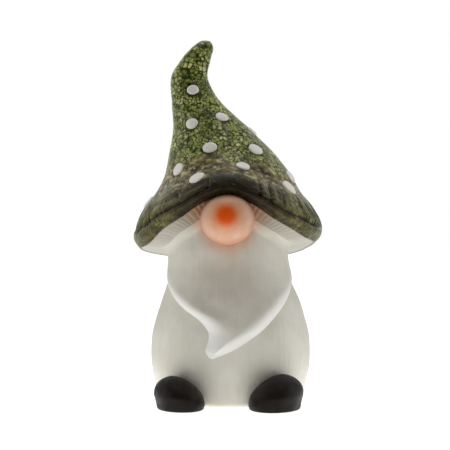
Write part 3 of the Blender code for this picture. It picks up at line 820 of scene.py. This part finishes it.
def moss_glaze():
    """A mottled reactive glaze: green cells in a dark net, turning brown towards the brim."""
    g = Glaze("moss_glaze_fine")
    station = g.attribute("station")
    drift = g.noise(26, 3, seed=1.0)
    where = g.math("ADD", station, g.ramp(drift, 0.25, 0.75, -0.75, 0.75))
    green_zone = g.ramp(where, 4.7, 5.7)

    warped = g.warp(6.0, 1.3)
    cell = g.cells(4.3, warped)
    net = g.cells(4.3, warped, "DISTANCE_TO_EDGE").outputs["Distance"]
    small_at = g.warp(3.0, 0.7)
    small = g.cells(2.3, small_at)
    small_net = g.cells(2.3, small_at, "DISTANCE_TO_EDGE").outputs["Distance"]
    tone = g.node("ShaderNodeSeparateColor")
    g.put(tone.inputs[0], cell.outputs["Color"])
    tint = g.node("ShaderNodeSeparateColor")
    g.put(tint.inputs[0], small.outputs["Color"])
    large = g.math("MULTIPLY", g.ramp(net, 0.02, 0.15), g.ramp(cell.outputs["Distance"], 0.75, 0.4))
    fine = g.math("MULTIPLY", g.ramp(small_net, 0.02, 0.15), g.ramp(small.outputs["Distance"], 0.75, 0.4))
    mixed = g.ramp(g.noise(14, 2, seed=8.0), 0.42, 0.58)
    fine = g.math("MULTIPLY", fine, g.math("SUBTRACT", 1.0, mixed))
    beads = g.math("ADD", g.math("MULTIPLY", large, mixed), fine)
    lively = g.ramp(g.noise(17, 3, seed=2.0), 0.34, 0.6)

    bright = g.mix(tone.outputs[0], srgb(184, 196, 78), srgb(252, 250, 166))
    bright = g.mix(g.math("MULTIPLY", tint.outputs[1], 0.4), bright, srgb(122, 140, 60))
    green = g.mix(beads, srgb(46, 54, 10), bright)
    green = g.mix(g.ramp(tone.outputs[1], 0.65, 0.95, 0.0, 0.5), green, srgb(50, 64, 20))
    green = g.mix(g.math("MULTIPLY", g.math("SUBTRACT", 1.0, lively), 0.5), green, srgb(50, 68, 20))

    # Painted highlight: pale glint dots scattered over the cells.
    glint_dots = g.cells(3.4, g.warp(2.0, 0.5), randomness=0.9).outputs["Distance"]
    green = g.mix(g.ramp(glint_dots, 0.2, 0.12, 0.0, 0.6), green, srgb(222, 226, 170))
    patchy = g.ramp(g.noise(9.5, 2, seed=12.0), 0.6, 0.7)
    green = g.mix(g.math("MULTIPLY", patchy, g.ramp(beads, 0.9, 0.2, 0.6, 0.9)), green, srgb(22, 26, 2))
    green = g.mix(g.ramp(station, 10.0, 12.0, 0.0, 0.3), green, srgb(46, 56, 18))

    streaky = g.noise((9.0, 9.0, 4.5), 4, 0.62, seed=3.0)
    blotches = g.noise((6.0, 6.0, 4.5), 4, 0.58, seed=4.0)
    brown = g.mix(g.ramp(streaky, 0.4, 0.6), srgb(58, 44, 20), srgb(134, 118, 72))
    brown = g.mix(g.ramp(blotches, 0.48, 0.68, 0.0, 0.95), brown, srgb(214, 206, 158))
    brown = g.mix(g.ramp(blotches, 0.48, 0.34, 0.0, 0.8), brown, srgb(40, 32, 14))
    tinge = g.math("MULTIPLY", g.ramp(g.noise(11, 2, seed=5.0), 0.5, 0.7), 0.6)
    brown = g.mix(tinge, brown, srgb(92, 98, 34))
    colour = g.mix(green_zone, brown, green)

    low = g.ramp(where, 3.8, 2.4)
    patches = g.ramp(g.noise((5.0, 5.0, 6.0), 3, 0.6, seed=6.0), 0.36, 0.7)
    olive = g.mix(patches, srgb(34, 27, 10), srgb(94, 88, 40))
    mossy = g.math("MULTIPLY", g.ramp(g.noise(13, 2, seed=14.0), 0.48, 0.62, 0.0, 0.65), beads)
    olive = g.mix(mossy, olive, srgb(140, 146, 72))
    colour = g.mix(g.math("MULTIPLY", low, 0.85), colour, olive)
    # Darker towards the front of the brim, near its lip.
    dark_front_rim = g.math("MULTIPLY", g.ramp(g.attribute("front"), 0.25, 0.85), g.ramp(where, 3.7, 2.5))
    colour = g.mix(g.math("MULTIPLY", dark_front_rim, 0.9), colour, srgb(34, 20, 6))
    # Painted highlight on the pleats' ridges, away from the front.
    ridge_highlight = g.math("MULTIPLY", g.attribute("ridge_highlight"), g.math("SUBTRACT", 1.0, g.attribute("front")))
    colour = g.mix(g.math("MULTIPLY", ridge_highlight, 0.5), colour, srgb(146, 144, 86))
    # Painted shade: the creases darkened.
    broken = g.ramp(g.noise(9, 2, seed=13.0), 0.3, 0.6, 0.45, 0.9)
    crease = g.math("MULTIPLY", g.attribute("crease"), broken)
    colour = g.mix(crease, colour, srgb(22, 18, 6))
    # Pooled glaze round the spots, with their painted shadow below.
    colour = g.mix(g.math("MULTIPLY", g.attribute("pool_and_shadow"), 0.8), colour, srgb(22, 20, 10))
    colour = g.mix(g.attribute("bare_clay"), colour, CLAY)

    roughness = g.ramp(g.noise(5, 3, seed=7.0), 0.3, 0.7, 0.3, 0.48)
    normal = g.bump(beads, 0.35, 0.9)
    normal = g.bump(streaky, 0.4, 0.6, normal)
    g.shader.inputs["Sheen Tint"].default_value = with_alpha(srgb(214, 222, 190))
    gloss = {"IOR": 1.2, "Coat_Weight": 0.4, "Coat_IOR": 1.2, "Coat_Roughness": 0.15}
    return g.finish(colour, roughness, normal, Sheen_Weight=0.6, Sheen_Roughness=0.3, **gloss)


def peach_glaze():
    g = Glaze("peach_glaze_fine")
    cloudy = g.noise(9, 3, seed=1.0)
    colour = g.mix(g.ramp(cloudy, 0.3, 0.7), srgb(226, 186, 160), srgb(218, 172, 144))
    colour = g.mix(g.math("MULTIPLY", g.attribute("rim"), 0.6), colour, srgb(204, 126, 88))
    colour = g.mix(g.math("MULTIPLY", g.attribute("halo"), 0.7), colour, srgb(250, 150, 76))
    grain = g.ramp(g.noise(0.9, 2, seed=2.0), 0.3, 0.7, -0.06, 0.06)
    core = g.ramp(g.math("ADD", g.attribute("core"), grain), 0.0, 1.0)
    colour = g.mix(core, colour, srgb(246, 92, 0))
    roughness = g.ramp(g.noise(6, 2, seed=3.0), 0.3, 0.7, 0.36, 0.46)
    normal = g.bump(g.noise(1.4, 3, seed=4.0), 0.07)
    return g.finish(colour, roughness, normal, IOR=1.32, Coat_Weight=0.08, Coat_Roughness=0.3)


def spot_glaze():
    g = Glaze("spot_glaze_fine")
    grain = g.noise(0.8, 3, 0.7, seed=1.0)
    colour = g.mix(g.ramp(grain, 0.4, 0.65), srgb(250, 244, 230), srgb(255, 254, 246))
    colour = g.mix(g.ramp(g.noise(5, 2, seed=2.0), 0.45, 0.7, 0.0, 0.25), colour, srgb(240, 230, 210))
    roughness = g.ramp(g.noise(4, 2, seed=3.0), 0.3, 0.7, 0.35, 0.55)
    normal = g.bump(grain, 0.16, 0.8)
    return g.finish(colour, roughness, normal, Coat_Weight=0.2, Coat_Roughness=0.25)


def black_glaze():
    g = Glaze("black_glaze_fine")
    cloudy = g.noise(10, 3, seed=1.0)
    colour = g.mix(g.ramp(cloudy, 0.35, 0.65), srgb(15, 9, 5), srgb(25, 17, 11))
    colour = g.mix(g.ramp(g.noise(1.0, 2, seed=2.0), 0.62, 0.75, 0.0, 0.5), colour, srgb(46, 34, 24))
    roughness = g.ramp(g.noise(7, 3, seed=3.0), 0.3, 0.7, 0.42, 0.58)
    normal = g.bump(g.noise(1.3, 3, seed=4.0), 0.09)
    return g.finish(colour, roughness, normal, IOR=1.22, Coat_Weight=0.04, Coat_Roughness=0.3)


# ---------------------------------------------------------------- studio

# The backdrop brightens from front to back. The floor glows near the object, from a centre in front of it.
SKY_RAMP = (-0.75, 0.5, 0.095, 0.6)  # from and to a direction's y, and the strengths there
GLOW_RAMP = (0.14, 0.4, 1.15, 0.1)  # from and to a distance in metres, and the strengths there
GLOW_FORWARD = (0, 0.09, 0)
SIDE_POWER = 1.8
TOP_POWER = 2.5
CAMERA_PLACE = (-2.1 * MM, AXIS_Y - 1.15, 145.5 * MM)
CAMERA_LENS = 110.6


def area_light(name, place, aim, size, power):
    data = bpy.data.lights.new(name, "AREA")
    data.shape = "RECTANGLE"
    data.size, data.size_y = size
    data.energy = power
    lamp = bpy.data.objects.new(name, data)
    lamp.location = place
    lamp.rotation_euler = (Vector(aim) - Vector(place)).to_track_quat("-Z", "Y").to_euler()
    bpy.context.scene.collection.objects.link(lamp)


def white_to_camera(tree, brightness, strength):
    """Drives a light strength, which the camera itself sees as plain white from everywhere."""
    choose = tree.nodes.new("ShaderNodeMix")
    choose.data_type = "FLOAT"
    tree.links.new(tree.nodes.new("ShaderNodeLightPath").outputs["Is Camera Ray"], choose.inputs[0])
    tree.links.new(brightness, choose.inputs[2])
    choose.inputs[3].default_value = 1.0
    tree.links.new(choose.outputs[0], strength)


def studio():
    scene = bpy.context.scene
    scene.view_settings.view_transform = "Standard"

    world = bpy.data.worlds.new("studio")
    world.use_nodes = True
    scene.world = world
    nodes, links = world.node_tree.nodes, world.node_tree.links
    coordinates = nodes.new("ShaderNodeTexCoord")
    split = nodes.new("ShaderNodeSeparateXYZ")
    links.new(coordinates.outputs["Generated"], split.inputs[0])
    ramp = nodes.new("ShaderNodeMapRange")
    ramp.interpolation_type = "SMOOTHSTEP"
    for socket, value in zip(list(ramp.inputs)[1:5], SKY_RAMP):
        socket.default_value = value
    links.new(split.outputs["Y"], ramp.inputs[0])
    white_to_camera(world.node_tree, ramp.outputs["Result"], nodes["Background"].inputs["Strength"])
    nodes["Background"].inputs["Color"].default_value = (1, 1, 1, 1)

    bpy.ops.mesh.primitive_circle_add(vertices=96, radius=8, fill_type="NGON")
    floor = bpy.context.object
    floor.name = "studio_floor"
    floor.location.z = -0.2 * MM
    paper = bpy.data.materials.new("floor_paper")
    paper.use_nodes = True
    nodes, links = paper.node_tree.nodes, paper.node_tree.links
    sheet = nodes["Principled BSDF"]
    sheet.inputs["Base Color"].default_value = (0.7, 0.7, 0.7, 1)
    sheet.inputs["Roughness"].default_value = 0.9
    sheet.inputs["Emission Color"].default_value = (1, 1, 1, 1)
    away = nodes.new("ShaderNodeVectorMath")
    away.operation = "LENGTH"
    forward = nodes.new("ShaderNodeVectorMath")
    forward.inputs[1].default_value = GLOW_FORWARD
    links.new(nodes.new("ShaderNodeTexCoord").outputs["Object"], forward.inputs[0])
    links.new(forward.outputs[0], away.inputs[0])
    glow = nodes.new("ShaderNodeMapRange")
    glow.interpolation_type = "SMOOTHSTEP"
    for socket, value in zip(list(glow.inputs)[1:5], GLOW_RAMP):
        socket.default_value = value
    links.new(away.outputs["Value"], glow.inputs[0])
    white_to_camera(paper.node_tree, glow.outputs["Result"], sheet.inputs["Emission Strength"])
    floor.data.materials.append(paper)

    area_light("softbox_left", (-0.9, 0.05, 0.35), (0, 0, 0.14), (0.7, 0.9), SIDE_POWER)
    area_light("softbox_right", (0.9, 0.05, 0.35), (0, 0, 0.14), (0.7, 0.9), SIDE_POWER)
    area_light("top", (0, 0.1, 1.1), (0, 0, 0.1), (0.7, 0.7), TOP_POWER)

    data = bpy.data.cameras.new("camera")
    data.lens = CAMERA_LENS
    data.clip_start = 0.01
    camera = bpy.data.objects.new("camera", data)
    camera.location = CAMERA_PLACE
    camera.rotation_euler = (pi / 2, 0, 0)
    scene.collection.objects.link(camera)
    scene.camera = camera


def build():
    spots = sorted(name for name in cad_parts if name.startswith("spot_"))
    shoes = ("left_shoe", "right_shoe")
    cream = cream_glaze("cream_glaze_fine")
    make_body(cream, shoes)
    make_beard(cream, shoes)
    make_gills(cream_glaze("gill_glaze_fine", gills=True), shoes)
    hat = make_hat(moss_glaze(), spots)
    make_nose(peach_glaze())
    black = black_glaze()
    make_shoe("left_shoe", -1, black)
    make_shoe("right_shoe", 1, black)
    hat_tree = BVHTree.FromPolygons(points_of(hat).tolist(), [tuple(p.vertices) for p in hat.data.polygons])
    white = spot_glaze()
    for node in spots:
        make_spot(node, hat_tree, white)


build()
studio()
